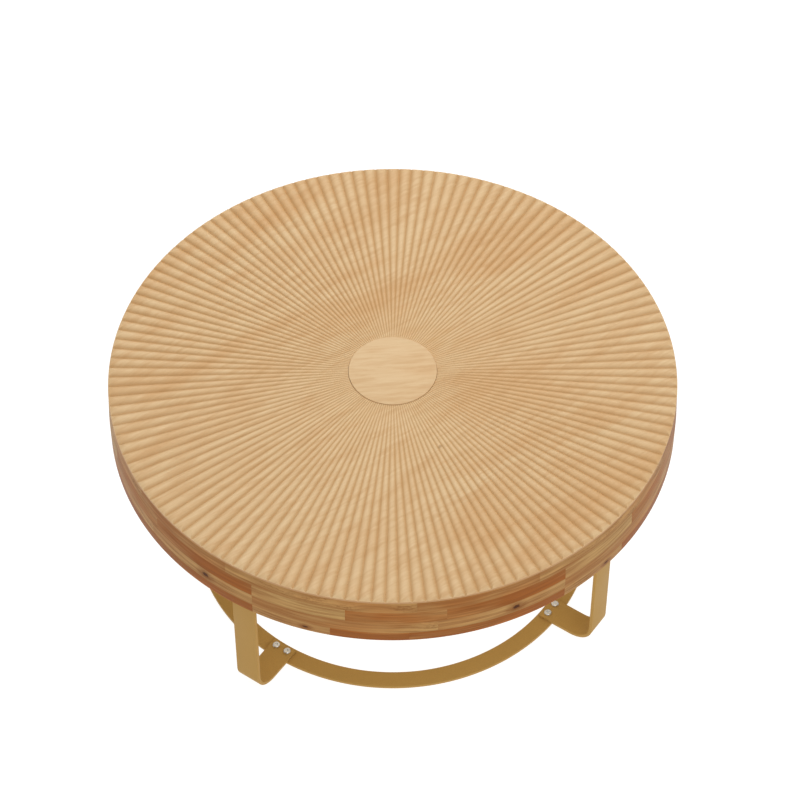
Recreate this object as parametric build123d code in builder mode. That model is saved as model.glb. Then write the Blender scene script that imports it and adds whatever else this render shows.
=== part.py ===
from build123d import *
import os
from math import cos, radians, sin, tan

# A round low table: a top panel routed into a sunburst of reeds lies on a drum of glued staves, which
# stands on four C-shaped legs of bent flat bar, bolted to one floor ring.
# Millimetres and degrees. +Z is up, the origin is on the floor at the table's centre, and the legs
# stand on the X and Y axes.

# ---------------------------------------------------------------- driving dimensions
# overall
TABLE_DIAMETER = 800
TABLE_HEIGHT = 357.7  # to the crests of the reeds

# top panel
PANEL_THICKNESS = 24
REEDS_PER_QUARTER = 35
REED_DEPTH = 4  # crest to valley at the edge; it shrinks with the radius
REED_CHAMFER = 11  # width of the edge chamfer over the reeds' ends
CHAMFER_DROP = 3  # its height
PANEL_LIP = 3.2  # height of the panel's edge over the rim
EDGE_ROUND = 0.8

# centre disc
DISC_DIAMETER = 124
DISC_THICKNESS = 8
DISC_PROUD = 1.2
DISC_CHAMFER = 0.5
DISC_GAP = 0.4

# rim: each course from the top down is its height, the azimuth of one butt joint, and the arcs of the
# staves that repeat from there round the ring
RIM_THICKNESS = 24
RIM_COURSES = (
    (19.5, -152.75, (38.75, 24.75)),
    (22, -146.75, (19, 19.5, 25)),
    (21.5, -146.75, (36.75, 26.75)),
    (17.5, -146.75, (16, 15.25, 32.25)),
)
CLOSING_SHARE = 0.25  # the shortest group of staves that may close a ring, as a share of a group
GLUE_LINE = 0.1
RIM_EASE = 1.5
RIM_TAPER = 2  # how far the upper courses lean in towards the panel
TAPERED_COURSES = 2

# base board and cross rails
BOARD_THICKNESS = 15
RAIL_WIDTH = 60
WOOD_FIT = 0.3  # round a panel or rail inside the rim
LAP_FIT = 0.2

# legs
BAR_WIDTH = 38
BAR_THICKNESS = 5
BEND_RADIUS = 31  # inside the bends
LEG_INSET = 40  # from the rim's face to the leg's
FOOT_LENGTH = 89
FLANGE_LENGTH = 89
LEGS = (("leg_east", 0), ("leg_north", 90), ("leg_west", 180), ("leg_south", 270))

# floor ring and pads
RING_WIDTH = 25
RING_THICKNESS = 5
FOOT_SETBACK = 3  # from the ring's inner edge to the end of a foot
PAD_DIAMETER = 18
PAD_THICKNESS = 2.5
PAD_COUNT = 8

# M6 bolts, washers and threaded inserts
BOLT_DIAMETER = 6
HEAD_DIAMETER = 10.5
HEAD_HEIGHT = 3.4
HEAD_ROUND = 1.8
SOCKET_SIZE = 4
SOCKET_DEPTH = 2
TIP_CHAMFER = 0.6
FOOT_BOLT_SPACING = 19
FLANGE_BOLT_LENGTH = 30
FLANGE_BOLT_MARGIN = 15  # from the flange's end to its first bolt
FLANGE_BOLT_SPACING = 28
WASHER_DIAMETER = 12.5
WASHER_THICKNESS = 1.6
INSERT_DIAMETER = 9.5
INSERT_LENGTH = 15
BOLT_CLEARANCE = 0.3
THREAD_CLEARANCE = 0.05

# wood screws: diameter, head diameter, length
BOARD_SCREW = (4, 8, 35)
RAIL_SCREW = (5, 10, 60)
SCREW_PITCH = 80
SCREW_MARGIN = 50  # from a flange's end to the nearest screw
RAIL_END_MARGIN = 30
SCREW_RECESS = 0.3
HEAD_EDGE = 0.4
CROSS_SHARE = 0.55  # of the screw head's diameter, across the cross recess
CROSS_WIDTH = 1.1
CROSS_DEPTH = 1.4
PILOT_CLEARANCE = 0.1

# ---------------------------------------------------------------- sizes that follow
RIM_RADIUS = TABLE_DIAMETER / 2
RIM_INNER_RADIUS = RIM_RADIUS - RIM_THICKNESS
INSIDE_RADIUS = RIM_INNER_RADIUS - WOOD_FIT
EDGE_TOP = TABLE_HEIGHT - CHAMFER_DROP
RIM_TOP = EDGE_TOP - PANEL_LIP
PANEL_RADIUS = RIM_RADIUS - RIM_TAPER
TAPER_HEIGHT = sum(height for height, joint, arcs in RIM_COURSES[:TAPERED_COURSES])
DRUM_BOTTOM = RIM_TOP - sum(height for height, joint, arcs in RIM_COURSES)
PANEL_BOTTOM = TABLE_HEIGHT - PANEL_THICKNESS
BOARD_TOP = DRUM_BOTTOM + BOARD_THICKNESS
RAIL_HEIGHT = PANEL_BOTTOM - BOARD_TOP

POCKET_RADIUS = DISC_DIAMETER / 2 + DISC_GAP
POCKET_FLOOR = TABLE_HEIGHT - DISC_THICKNESS

LEG_RADIUS = RIM_RADIUS - LEG_INSET
FOOT_END = LEG_RADIUS - FOOT_LENGTH
FLANGE_END = LEG_RADIUS - FLANGE_LENGTH
RING_TOP = PAD_THICKNESS + RING_THICKNESS
FOOT_TOP = RING_TOP + BAR_THICKNESS
FLANGE_BOTTOM = DRUM_BOTTOM - BAR_THICKNESS
RING_INNER_RADIUS = FOOT_END - FOOT_SETBACK
RING_OUTER_RADIUS = RING_INNER_RADIUS + RING_WIDTH
RING_MIDDLE = (RING_INNER_RADIUS + RING_OUTER_RADIUS) / 2

BOLT_RADIUS = BOLT_DIAMETER / 2
FOOT_BOLT_LENGTH = BAR_THICKNESS + RING_THICKNESS
FLANGE_BOLT_RADII = (FLANGE_END + FLANGE_BOLT_MARGIN, FLANGE_END + FLANGE_BOLT_MARGIN + FLANGE_BOLT_SPACING)
FOOT_BOLT_OFFSETS = (-FOOT_BOLT_SPACING / 2, FOOT_BOLT_SPACING / 2)

# screws stand in a row along each arm of the rails, from the flange inwards, clear of the lap joint
SCREW_START = FLANGE_END - SCREW_MARGIN
SCREW_STEPS = int((SCREW_START - RAIL_WIDTH) / (SCREW_PITCH / 2))
SCREW_ROW = [SCREW_START - SCREW_PITCH / 2 * step for step in range(SCREW_STEPS + 1)]
BOARD_SCREW_RADII = SCREW_ROW[0::2]
RAIL_SCREW_RADII = SCREW_ROW[1::2] + [INSIDE_RADIUS - RAIL_END_MARGIN]
BOARD_SCREW_SEAT = DRUM_BOTTOM + SCREW_RECESS
RAIL_SCREW_SEAT = BOARD_TOP + SCREW_RECESS


# ---------------------------------------------------------------- shared shapes
def radial_plane(azimuth):
    """The upright plane through the table's axis: its X runs outwards and its Y runs up."""
    outwards = (cos(radians(azimuth)), sin(radians(azimuth)), 0)
    sideways = (sin(radians(azimuth)), -cos(radians(azimuth)), 0)
    return Plane(origin=(0, 0, 0), x_dir=outwards, z_dir=sideways)


def around(radii, height, tangents=(0,)):
    """Points at these radii and offsets on each of the four arms, at one height."""
    points = []
    for name, azimuth in LEGS:
        outwards = Vector(1, 0, 0).rotate(Axis.Z, azimuth)
        sideways = Vector(0, 1, 0).rotate(Axis.Z, azimuth)
        for radius in radii:
            for tangent in tangents:
                points.append(outwards * radius + sideways * tangent + Vector(0, 0, height))
    return points


def button_bolt(length):
    """A button-head bolt with a hexagon socket, head up, seated at Z = 0."""
    with BuildPart() as bolt:
        Cylinder(BOLT_RADIUS, length, align=(Align.CENTER, Align.CENTER, Align.MAX))
        chamfer(bolt.edges().sort_by(Axis.Z)[0], TIP_CHAMFER)
        Cylinder(HEAD_DIAMETER / 2, HEAD_HEIGHT, align=(Align.CENTER, Align.CENTER, Align.MIN))
        fillet(bolt.edges().sort_by(Axis.Z)[-1], HEAD_ROUND)
        with BuildSketch(Plane.XY.offset(HEAD_HEIGHT)):
            RegularPolygon(SOCKET_SIZE / 2, 6, major_radius=False)
        extrude(amount=-SOCKET_DEPTH, mode=Mode.SUBTRACT)
    return bolt.part


def screw_body(size, clearance=0):
    """A countersunk wood screw, head down at Z = 0 and point up, or with a clearance the hole for it."""
    diameter, head_diameter, length = size
    shank = diameter / 2 + clearance
    head = head_diameter / 2 + clearance
    with BuildPart() as body:
        with BuildSketch(Plane.XZ):
            with BuildLine():
                Polyline(
                    (0, -clearance),
                    (head, -clearance),
                    (head, HEAD_EDGE),
                    (shank, HEAD_EDGE + head - shank),
                    (shank, length - diameter),
                    (0, length + clearance),
                    close=True,
                )
            make_face()
        revolve(axis=Axis.Z)
    return body.part


def wood_screw(size):
    """A wood screw with its cross recess."""
    diameter, head_diameter, length = size
    with BuildPart() as screw:
        add(screw_body(size))
        with BuildSketch(Plane.XY):
            Rectangle(head_diameter * CROSS_SHARE, CROSS_WIDTH)
            Rectangle(CROSS_WIDTH, head_diameter * CROSS_SHARE)
        extrude(amount=CROSS_DEPTH, mode=Mode.SUBTRACT)
    return screw.part


def finish(piece, name):
    """Names a finished piece and writes it."""
    piece.label = name
    export_step(piece, f"parts/{name}.step")


os.makedirs("parts", exist_ok=True)

board_screw_holes = screw_body(BOARD_SCREW, PILOT_CLEARANCE)
rail_screw_holes = screw_body(RAIL_SCREW, PILOT_CLEARANCE)
board_screw_points = around(BOARD_SCREW_RADII, BOARD_SCREW_SEAT)
rail_screw_points = around(RAIL_SCREW_RADII, RAIL_SCREW_SEAT)
foot_bolt_points = around([RING_MIDDLE], FOOT_TOP, FOOT_BOLT_OFFSETS)
flange_bolt_points = around(FLANGE_BOLT_RADII, FLANGE_BOTTOM - WASHER_THICKNESS)

# ---------------------------------------------------------------- fluted_top
# A quarter of the panel is turned, and a fan of cutters, one over each reed, hollows the valleys between
# their round backs. The quarter has one arm of the rails in it, and four of them make the panel.
REED_PITCH = 90 / REEDS_PER_QUARTER
QUARTER_START = -REED_PITCH * ((REEDS_PER_QUARTER + 1) // 2)
CUTTER_OVERRUN = 5  # the cutters run this far past the panel


def cutter_section(radius):
    """The end of a cutter at this radius: its underside is the reed's round back."""
    half_width = radius * tan(radians(REED_PITCH / 2))
    valley = TABLE_HEIGHT - REED_DEPTH * radius / PANEL_RADIUS
    ceiling = TABLE_HEIGHT + CUTTER_OVERRUN
    end_plane = Plane(origin=(radius, 0, 0), x_dir=(0, 1, 0), z_dir=(1, 0, 0))
    with BuildSketch(end_plane) as section:
        with BuildLine():
            ThreePointArc((-half_width, valley), (0, TABLE_HEIGHT), (half_width, valley))
            Polyline((half_width, valley), (half_width, ceiling), (-half_width, ceiling), (-half_width, valley))
        make_face()
    return section.sketch


with BuildPart() as reed_cutter:
    add(cutter_section(POCKET_RADIUS - CUTTER_OVERRUN))
    add(cutter_section(PANEL_RADIUS + CUTTER_OVERRUN))
    loft(ruled=True)


def fan(count):
    """A fan of cutters side by side, joined half to half."""
    if count == 1:
        return reed_cutter.part.rotate(Axis.Z, REED_PITCH / 2)
    half = fan(count // 2)
    with BuildPart() as joined:
        add([half, half.rotate(Axis.Z, REED_PITCH * (count // 2))])
        if count % 2:
            add(fan(1).rotate(Axis.Z, REED_PITCH * (count - 1)))
    return joined.part


with BuildPart() as quarter:
    with BuildSketch(radial_plane(QUARTER_START)) as panel_profile:
        with BuildLine():
            Polyline(
                (0, PANEL_BOTTOM),
                (INSIDE_RADIUS, PANEL_BOTTOM),
                (INSIDE_RADIUS, RIM_TOP),
                (PANEL_RADIUS, RIM_TOP),
                (PANEL_RADIUS, EDGE_TOP),
                (PANEL_RADIUS - REED_CHAMFER, TABLE_HEIGHT),
                (POCKET_RADIUS, TABLE_HEIGHT),
                (POCKET_RADIUS, POCKET_FLOOR),
                (0, POCKET_FLOOR),
                close=True,
            )
        make_face()
        fillet(panel_profile.vertices().group_by(Axis.X)[-1].sort_by(Axis.Y)[-1], EDGE_ROUND)
    revolve(axis=Axis.Z, revolution_arc=90)
    add(fan(REEDS_PER_QUARTER).rotate(Axis.Z, QUARTER_START), mode=Mode.SUBTRACT)
    with Locations(*[(radius, 0, RAIL_SCREW_SEAT) for radius in RAIL_SCREW_RADII]):
        add(rail_screw_holes, mode=Mode.SUBTRACT)

with BuildPart() as fluted_top:
    add([quarter.part.rotate(Axis.Z, azimuth) for name, azimuth in LEGS])
finish(fluted_top.part, "fluted_top")

# ---------------------------------------------------------------- centre_disc
with BuildPart() as centre_disc:
    with BuildSketch(Plane.XY.offset(POCKET_FLOOR)):
        Circle(DISC_DIAMETER / 2)
    extrude(amount=DISC_THICKNESS + DISC_PROUD)
    chamfer(centre_disc.edges().sort_by(Axis.Z)[-1], DISC_CHAMFER)
finish(centre_disc.part, "centre_disc")


# ---------------------------------------------------------------- rim_course_1 to rim_course_4
def butt_joints(first, arcs):
    """Azimuths of a course's joints: whole groups of staves, then a group cut to close the ring."""
    group = sum(arcs)
    whole_groups = int(360 / group - CLOSING_SHARE)
    closing_share = 360 / group - whole_groups
    joints = []
    azimuth = first
    for share in [1] * whole_groups + [closing_share]:
        for arc in arcs:
            joints.append(azimuth)
            azimuth += arc * share
    return joints


def rim_radius(height):
    """The radius of the drum's face at this height."""
    lean = max(0, 1 - (RIM_TOP - height) / TAPER_HEIGHT)
    return RIM_RADIUS - RIM_TAPER * lean


course_top = RIM_TOP
for number, (height, first_joint, arcs) in enumerate(RIM_COURSES, start=1):
    course_bottom = course_top - height
    with BuildPart() as course:
        with BuildSketch(Plane.XZ):
            with BuildLine():
                Polyline(
                    (RIM_INNER_RADIUS, course_bottom),
                    (rim_radius(course_bottom), course_bottom),
                    (rim_radius(course_top), course_top),
                    (RIM_INNER_RADIUS, course_top),
                    close=True,
                )
            make_face()
        revolve(axis=Axis.Z)
        if number == len(RIM_COURSES):
            lower_edges = course.edges().group_by(Axis.Z)[0]
            fillet(lower_edges.sort_by(SortBy.RADIUS)[-1], RIM_EASE)
        with BuildSketch(Plane.XY.offset(course_bottom)):
            for azimuth in butt_joints(first_joint, arcs):
                with PolarLocations(RIM_RADIUS - RIM_THICKNESS / 2, 1, start_angle=azimuth):
                    Rectangle(2 * RIM_THICKNESS, GLUE_LINE)
        extrude(amount=height, mode=Mode.SUBTRACT)
    finish(course.part, f"rim_course_{number}")
    course_top = course_bottom

# ---------------------------------------------------------------- base_board
with BuildPart() as base_board:
    with BuildSketch(Plane.XY.offset(DRUM_BOTTOM)):
        Circle(INSIDE_RADIUS)
        with Locations(*around(FLANGE_BOLT_RADII, 0)):
            Circle(BOLT_RADIUS + BOLT_CLEARANCE, mode=Mode.SUBTRACT)
    extrude(amount=BOARD_THICKNESS)
    with Locations(*board_screw_points):
        add(board_screw_holes, mode=Mode.SUBTRACT)
finish(base_board.part, "base_board")

# ---------------------------------------------------------------- cross_rail_x and cross_rail_y
# The rails are halved into each other: the first keeps its lower half at the crossing, the second its
# upper half.
LAP_MIDDLE = (BOARD_TOP + PANEL_BOTTOM) / 2
LAP_SIZE = RAIL_WIDTH + 2 * LAP_FIT


def cross_rail(azimuth, notch_bottom):
    """A rail through the table's centre at this azimuth, with a notch half its height."""
    upright = Plane.XY.offset(BOARD_TOP).rotated((0, 0, azimuth))
    with BuildPart() as rail:
        with BuildSketch(upright):
            Circle(INSIDE_RADIUS)
            Rectangle(2 * RIM_RADIUS, RAIL_WIDTH, mode=Mode.INTERSECT)
        extrude(amount=RAIL_HEIGHT)
        with BuildSketch(Plane.XY.offset(notch_bottom)):
            Rectangle(LAP_SIZE, LAP_SIZE)
        extrude(amount=RAIL_HEIGHT / 2, mode=Mode.SUBTRACT)
        with BuildSketch(Plane.XY.offset(BOARD_TOP)):
            with Locations(*around(FLANGE_BOLT_RADII, 0)):
                Circle(INSERT_DIAMETER / 2 + THREAD_CLEARANCE)
        extrude(amount=INSERT_LENGTH, mode=Mode.SUBTRACT)
        with Locations(*board_screw_points):
            add(board_screw_holes, mode=Mode.SUBTRACT)
        with Locations(*rail_screw_points):
            add(rail_screw_holes, mode=Mode.SUBTRACT)
    return rail.part


finish(cross_rail(0, LAP_MIDDLE), "cross_rail_x")
finish(cross_rail(90, BOARD_TOP), "cross_rail_y")

# ---------------------------------------------------------------- legs
for name, azimuth in LEGS:
    with BuildPart() as leg:
        with BuildSketch(radial_plane(azimuth)):
            with BuildLine():
                FilletPolyline(
                    (FOOT_END, RING_TOP),
                    (LEG_RADIUS, RING_TOP),
                    (LEG_RADIUS, DRUM_BOTTOM),
                    (FLANGE_END, DRUM_BOTTOM),
                    radius=BEND_RADIUS + BAR_THICKNESS,
                )
                Line((FLANGE_END, DRUM_BOTTOM), (FLANGE_END, FLANGE_BOTTOM))
                FilletPolyline(
                    (FLANGE_END, FLANGE_BOTTOM),
                    (LEG_RADIUS - BAR_THICKNESS, FLANGE_BOTTOM),
                    (LEG_RADIUS - BAR_THICKNESS, FOOT_TOP),
                    (FOOT_END, FOOT_TOP),
                    radius=BEND_RADIUS,
                )
                Line((FOOT_END, FOOT_TOP), (FOOT_END, RING_TOP))
            make_face()
        extrude(amount=BAR_WIDTH / 2, both=True)
        with BuildSketch(Plane.XY.offset(RING_TOP)):
            with Locations(*around([RING_MIDDLE], 0, FOOT_BOLT_OFFSETS)):
                Circle(BOLT_RADIUS + BOLT_CLEARANCE)
        extrude(amount=BAR_THICKNESS, mode=Mode.SUBTRACT)
        with BuildSketch(Plane.XY.offset(FLANGE_BOTTOM)):
            with Locations(*around(FLANGE_BOLT_RADII, 0)):
                Circle(BOLT_RADIUS + BOLT_CLEARANCE)
        extrude(amount=BAR_THICKNESS, mode=Mode.SUBTRACT)
    finish(leg.part, name)

# ---------------------------------------------------------------- base_ring
with BuildPart() as base_ring:
    with BuildSketch(Plane.XY.offset(PAD_THICKNESS)):
        Circle(RING_OUTER_RADIUS)
        Circle(RING_INNER_RADIUS, mode=Mode.SUBTRACT)
        with Locations(*around([RING_MIDDLE], 0, FOOT_BOLT_OFFSETS)):
            Circle(BOLT_RADIUS + THREAD_CLEARANCE, mode=Mode.SUBTRACT)
    extrude(amount=RING_THICKNESS)
finish(base_ring.part, "base_ring")

# ---------------------------------------------------------------- floor_pads
with BuildPart() as floor_pads:
    with BuildSketch(Plane.XY):
        with PolarLocations(RING_MIDDLE, PAD_COUNT, start_angle=180 / PAD_COUNT):
            Circle(PAD_DIAMETER / 2)
    extrude(amount=PAD_THICKNESS)
finish(floor_pads.part, "floor_pads")

# ---------------------------------------------------------------- foot_bolts and flange_bolts
foot_bolt = button_bolt(FOOT_BOLT_LENGTH)
with BuildPart() as foot_bolts:
    with Locations(*foot_bolt_points):
        add(foot_bolt)
finish(foot_bolts.part, "foot_bolts")

flange_bolt = button_bolt(FLANGE_BOLT_LENGTH).rotate(Axis.X, 180)
with BuildPart() as flange_bolts:
    with Locations(*flange_bolt_points):
        add(flange_bolt)
finish(flange_bolts.part, "flange_bolts")

# ---------------------------------------------------------------- flange_washers
with BuildPart() as flange_washers:
    with BuildSketch(Plane.XY.offset(FLANGE_BOTTOM - WASHER_THICKNESS)):
        with Locations(*around(FLANGE_BOLT_RADII, 0)):
            Circle(WASHER_DIAMETER / 2)
            Circle(BOLT_RADIUS + BOLT_CLEARANCE, mode=Mode.SUBTRACT)
    extrude(amount=WASHER_THICKNESS)
finish(flange_washers.part, "flange_washers")

# ---------------------------------------------------------------- threaded_inserts
with BuildPart() as threaded_inserts:
    with BuildSketch(Plane.XY.offset(BOARD_TOP)):
        with Locations(*around(FLANGE_BOLT_RADII, 0)):
            Circle(INSERT_DIAMETER / 2)
            Circle(BOLT_RADIUS + THREAD_CLEARANCE, mode=Mode.SUBTRACT)
    extrude(amount=INSERT_LENGTH)
finish(threaded_inserts.part, "threaded_inserts")

# ---------------------------------------------------------------- board_screws and rail_screws
board_screw = wood_screw(BOARD_SCREW)
with BuildPart() as board_screws:
    with Locations(*board_screw_points):
        add(board_screw)
finish(board_screws.part, "board_screws")

rail_screw = wood_screw(RAIL_SCREW)
with BuildPart() as rail_screws:
    with Locations(*rail_screw_points):
        add(rail_screw)
finish(rail_screws.part, "rail_screws")
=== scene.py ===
from math import asin, cos, degrees, hypot, pi, radians, sin, sqrt, tan

import bmesh
import bpy
from bpy.props import FloatProperty, FloatVectorProperty, IntProperty, PointerProperty
from mathutils import Matrix, Vector


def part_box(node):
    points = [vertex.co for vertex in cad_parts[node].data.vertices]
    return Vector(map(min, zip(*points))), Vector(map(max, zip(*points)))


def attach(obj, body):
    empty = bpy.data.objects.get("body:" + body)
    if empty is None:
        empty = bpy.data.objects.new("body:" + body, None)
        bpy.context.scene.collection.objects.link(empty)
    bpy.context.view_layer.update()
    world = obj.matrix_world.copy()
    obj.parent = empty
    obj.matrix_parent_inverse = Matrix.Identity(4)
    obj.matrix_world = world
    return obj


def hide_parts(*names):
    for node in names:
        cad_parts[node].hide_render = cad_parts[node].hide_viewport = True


bl_info = {
    "name": "Reeded Low Table",
    "version": (1, 0, 0),
    "blender": (4, 5, 0),
    "location": "View3D > Sidebar > Low Table",
    "description": "Builds a round low table: a reeded top on a drum of glued staves, on bent legs",
    "category": "Add Mesh",
}

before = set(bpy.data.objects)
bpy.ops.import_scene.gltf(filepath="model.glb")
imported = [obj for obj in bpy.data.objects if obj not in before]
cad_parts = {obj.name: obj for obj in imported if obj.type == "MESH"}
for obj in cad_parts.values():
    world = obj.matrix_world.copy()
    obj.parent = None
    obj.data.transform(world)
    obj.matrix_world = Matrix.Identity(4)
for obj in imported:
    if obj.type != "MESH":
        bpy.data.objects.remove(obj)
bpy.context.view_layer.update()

# The boxes of the frame's nodes give the sizes that the pieces share with it, in metres.
TOP_LOW, TOP_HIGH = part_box("fluted_top")
DISC_LOW, DISC_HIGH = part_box("centre_disc")
RIM_BOXES = [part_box(f"rim_course_{number}") for number in (1, 2, 3, 4)]
LEG_LOW, LEG_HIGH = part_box("leg_east")
RING_LOW, RING_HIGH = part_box("base_ring")
WASHER_LOW, WASHER_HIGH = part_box("flange_washers")
PANEL_RADIUS = TOP_HIGH.x
TABLE_RADIUS = max(high.x for low, high in RIM_BOXES)
RIM_TOP = RIM_BOXES[0][1].z
TAPER_BOTTOM = RIM_BOXES[1][0].z  # the two upper courses lean in to the panel's radius
LEG_ANGLES = {"leg_east": 0, "leg_north": 90, "leg_west": 180, "leg_south": 270}

# Each course of the rim from the top down: where one joint is, and the staves that repeat from it,
# as (arc, tone at its start, tone at its end). Arcs are in degrees, and a tone goes from 0 for pale
# tan to 1 for red-brown.
COURSES = (
    (-152.75, ((38.75, 0.38, 0.44), (24.75, 0.66, 0.54))),
    (-146.75, ((19, 0.1, 0.1), (19.5, 0.98, 0.55), (25, 0.88, 0.98))),
    (-146.75, ((36.75, 0.42, 0.36), (26.75, 0.3, 0.34))),
    (-146.75, ((16, 0.48, 0.46), (15.25, 1.0, 1.0), (32.25, 1.0, 0.96))),
)
CLOSING_SHARE = 0.25  # the group that closes the ring is at least this share of a whole one
GLUE_LINE = 0.0001
COURSE_STEP = 0.1  # between two courses on the grain map
STAVE_STEP = 0.025  # between two staves of a course on the grain map
STAVE_FACE = 1.5  # degrees that one face of a stave spans, about

# Knots in the staves: course, stave, degrees from the start of the group, height in the course, and
# half the length and half the height of the dark core.
KNOTS = (
    (3, 1, 52.5, 0.0105, 0.0060, 0.0042),
    (4, 0, 11.15, 0.0085, 0.0042, 0.0024),
)
# Ring figures where the saw just missed a knot: as for the knots, with the figure's own half sizes.
SWIRLS = (
    (1, 0, 17.25, 0.0105, 0.030, 0.0050),
    (1, 0, 25.0, 0.0060, 0.011, 0.0050),
    (1, 0, 36.3, 0.0090, 0.012, 0.0060),
    (3, 0, 36.0, 0.0110, 0.012, 0.0060),
)
GRAIN_LIFT = 0.006  # how far a knot or a ring figure lifts the grain beside it
RING_WAVES = 10.0  # how closely the rings of a figure follow each other
TOP_MARK = (0.1312, -0.0743, 0.0026)  # a small knot in the top: its X and Y, and half its width
MARK_ASPECT = 0.6  # that knot's width over its length, which lies along Y

SAME = 0.0001  # radii closer than this are taken as one
MERGE = 1e-6  # points closer than this are joined
REED_MERGE = 2e-6  # the same, where two reeds meet
ON_AXIS = 1e-7  # a point nearer to the Z axis than this lies on it

# How finely round shapes are divided.
DISC_STEPS = 160
RING_STEPS = 256
SMALL_STEPS = 40  # pads and washers
BOLT_STEPS = 36
HEAD_STEPS = 6  # the round of a bolt's head
BEND_STEPS = 16
FINE_CORNER = 4  # a rounded corner of the disc or the rim
PLAIN_CORNER = 3  # one of the bars, the pads or the washers

PAD_COUNT = 8
HEXAGON_SIDE = pi / 3  # the angle that one side of a bolt's socket spans
TOP_SHARP = 21  # degrees between faces from which an edge of the reeded top is sharp
PLAIN_SHARP = 30  # the same on every other piece

SENSOR_WIDTH = 36  # in millimetres
FLOOR_REACH = 12  # from the middle of the floor to its sides
LIGHT_TARGET = Vector((0, 0, 0.3))
FILL_SIDE = radians(25)  # how far the fill light stands round from the camera

# The corners of a section, in the order that box_section gives them.
LOWER_INNER, LOWER_OUTER, UPPER_OUTER, UPPER_INNER = range(4)

# The Mix node's sockets for colours.
MIX_FACTOR, MIX_FIRST, MIX_SECOND, MIX_RESULT = 0, 6, 7, 2


def srgb(red, green, blue):
    """A colour named by its screen values from 0 to 255, as linear light."""
    return [
        value / 12.92 if value <= 0.04045 else ((value + 0.055) / 1.055) ** 2.4
        for value in (red / 255, green / 255, blue / 255)
    ]


# Colours of the base board and of the hardware in the drum, which have no settings of their own.
BOARD_PALE = srgb(228, 217, 198)
BOARD_WARM = srgb(212, 196, 170)
BRASS = srgb(196, 160, 92)
YELLOW_ZINC = srgb(196, 186, 150)


def length(label, about, default):
    """A setting in metres."""
    return FloatProperty(
        name=label, description=about, default=default, min=0, unit="LENGTH", precision=5
    )


def angle_of(label, about, default):
    """A setting given here in degrees, and kept in radians."""
    return FloatProperty(name=label, description=about, default=radians(default), subtype="ANGLE")


def colour(label, about, default):
    """A setting for a colour, in linear light."""
    return FloatVectorProperty(
        name=label, description=about, default=default, size=3, min=0, max=1, subtype="COLOR"
    )


# ------------------------------ settings
class LOWTABLE_PG_top(bpy.types.PropertyGroup):
    reeds: IntProperty(name="Reeds", description="Reeds round the top", default=140, min=8)
    depth: length("Reed depth", "From a reed's crest down to its valley, at the edge", 0.004)
    nose: length("Nose", "Width of the rounded nose that ends the reeds", 0.011)
    drop: length("Nose drop", "How far the nose falls from the crests to the panel's edge", 0.003)
    support: length("Support", "From the nose to the first row of points inside it", 0.0008)
    edge_round: length("Edge round", "Radius of the panel's outer edge", 0.0008)
    rebate: length("Rebate radius", "Radius of the panel inside the rim", 0.3757)
    pocket: length("Pocket radius", "Radius of the pocket for the centre disc", 0.0624)
    disc_round: length("Disc round", "Radius of the centre disc's upper edge", 0.0005)
    pale: colour("Pale wood", "The wood between its darker bands", srgb(230, 197, 150))
    warm: colour("Warm wood", "The orange bands across the wood", srgb(214, 163, 106))
    # The valleys' colour is painted shade: the same wood drawn darker down between the reeds.
    valley: colour("Valleys", "The wood down between the reeds", srgb(196, 154, 100))
    # The panel side's colour is painted shade: the upright edge is the same pale wood, drawn
    # darker.
    side: colour("Panel side", "The upright edge of the panel", srgb(190, 144, 96))


class LOWTABLE_PG_rim(bpy.types.PropertyGroup):
    thickness: length("Stave thickness", "From the rim's face to its inside", 0.024)
    ease: length("Lower edge", "Radius of the rim's lower edge", 0.0015)
    tan_wood: colour("Tan staves", "The palest staves", srgb(182, 144, 89))
    red_wood: colour("Red-brown staves", "The darkest staves", srgb(151, 88, 35))
    knot: colour("Knots", "The dark core of a knot", srgb(80, 42, 16))


class LOWTABLE_PG_legs(bpy.types.PropertyGroup):
    bar: length("Bar thickness", "Thickness of the flat bar", 0.005)
    bend: length("Bend radius", "Inside radius of the bends", 0.031)
    corner: length("Bar corners", "Radius of the bar's long edges", 0.0005)
    ring: length("Ring width", "Width of the flat bar of the floor ring", 0.025)
    pad: length("Pad diameter", "Across a pad under the ring", 0.018)
    pad_round: length("Pad edge", "Radius of a pad's lower edge", 0.0006)
    paint: colour("Gold paint", "Satin paint on the legs and the ring", srgb(188, 148, 82))


class LOWTABLE_PG_hardware(bpy.types.PropertyGroup):
    head: length("Head diameter", "Across a bolt's head", 0.0105)
    head_height: length("Head height", "Height of a bolt's head", 0.0034)
    head_round: length("Head round", "Radius of the head's edge", 0.0018)
    shank: length("Shank diameter", "Across a bolt's shank", 0.006)
    tip: length("Shank tip", "Chamfer at the end of a shank", 0.0006)
    socket: length("Socket width", "Across the flats of the socket", 0.004)
    socket_depth: length("Socket depth", "Depth of the socket", 0.002)
    foot_spacing: length("Foot bolts", "Between the two bolts of a foot", 0.019)
    flange_inner: length("Inner flange bolt", "From the table's axis to the inner bolt", 0.286)
    flange_outer: length("Outer flange bolt", "From the table's axis to the outer bolt", 0.314)
    flange_bolt: length("Flange bolt length", "Shank of a flange bolt", 0.03)
    washer: length("Washer diameter", "Across a washer", 0.0125)
    washer_hole: length("Washer hole", "Across the hole in a washer", 0.0066)
    washer_round: length("Washer edge", "Radius of a washer's outer edges", 0.0002)
    steel: colour("Steel", "Zinc plated steel", srgb(226, 226, 224))
    rubber: colour("Rubber", "The pads under the ring", srgb(38, 37, 36))


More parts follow.
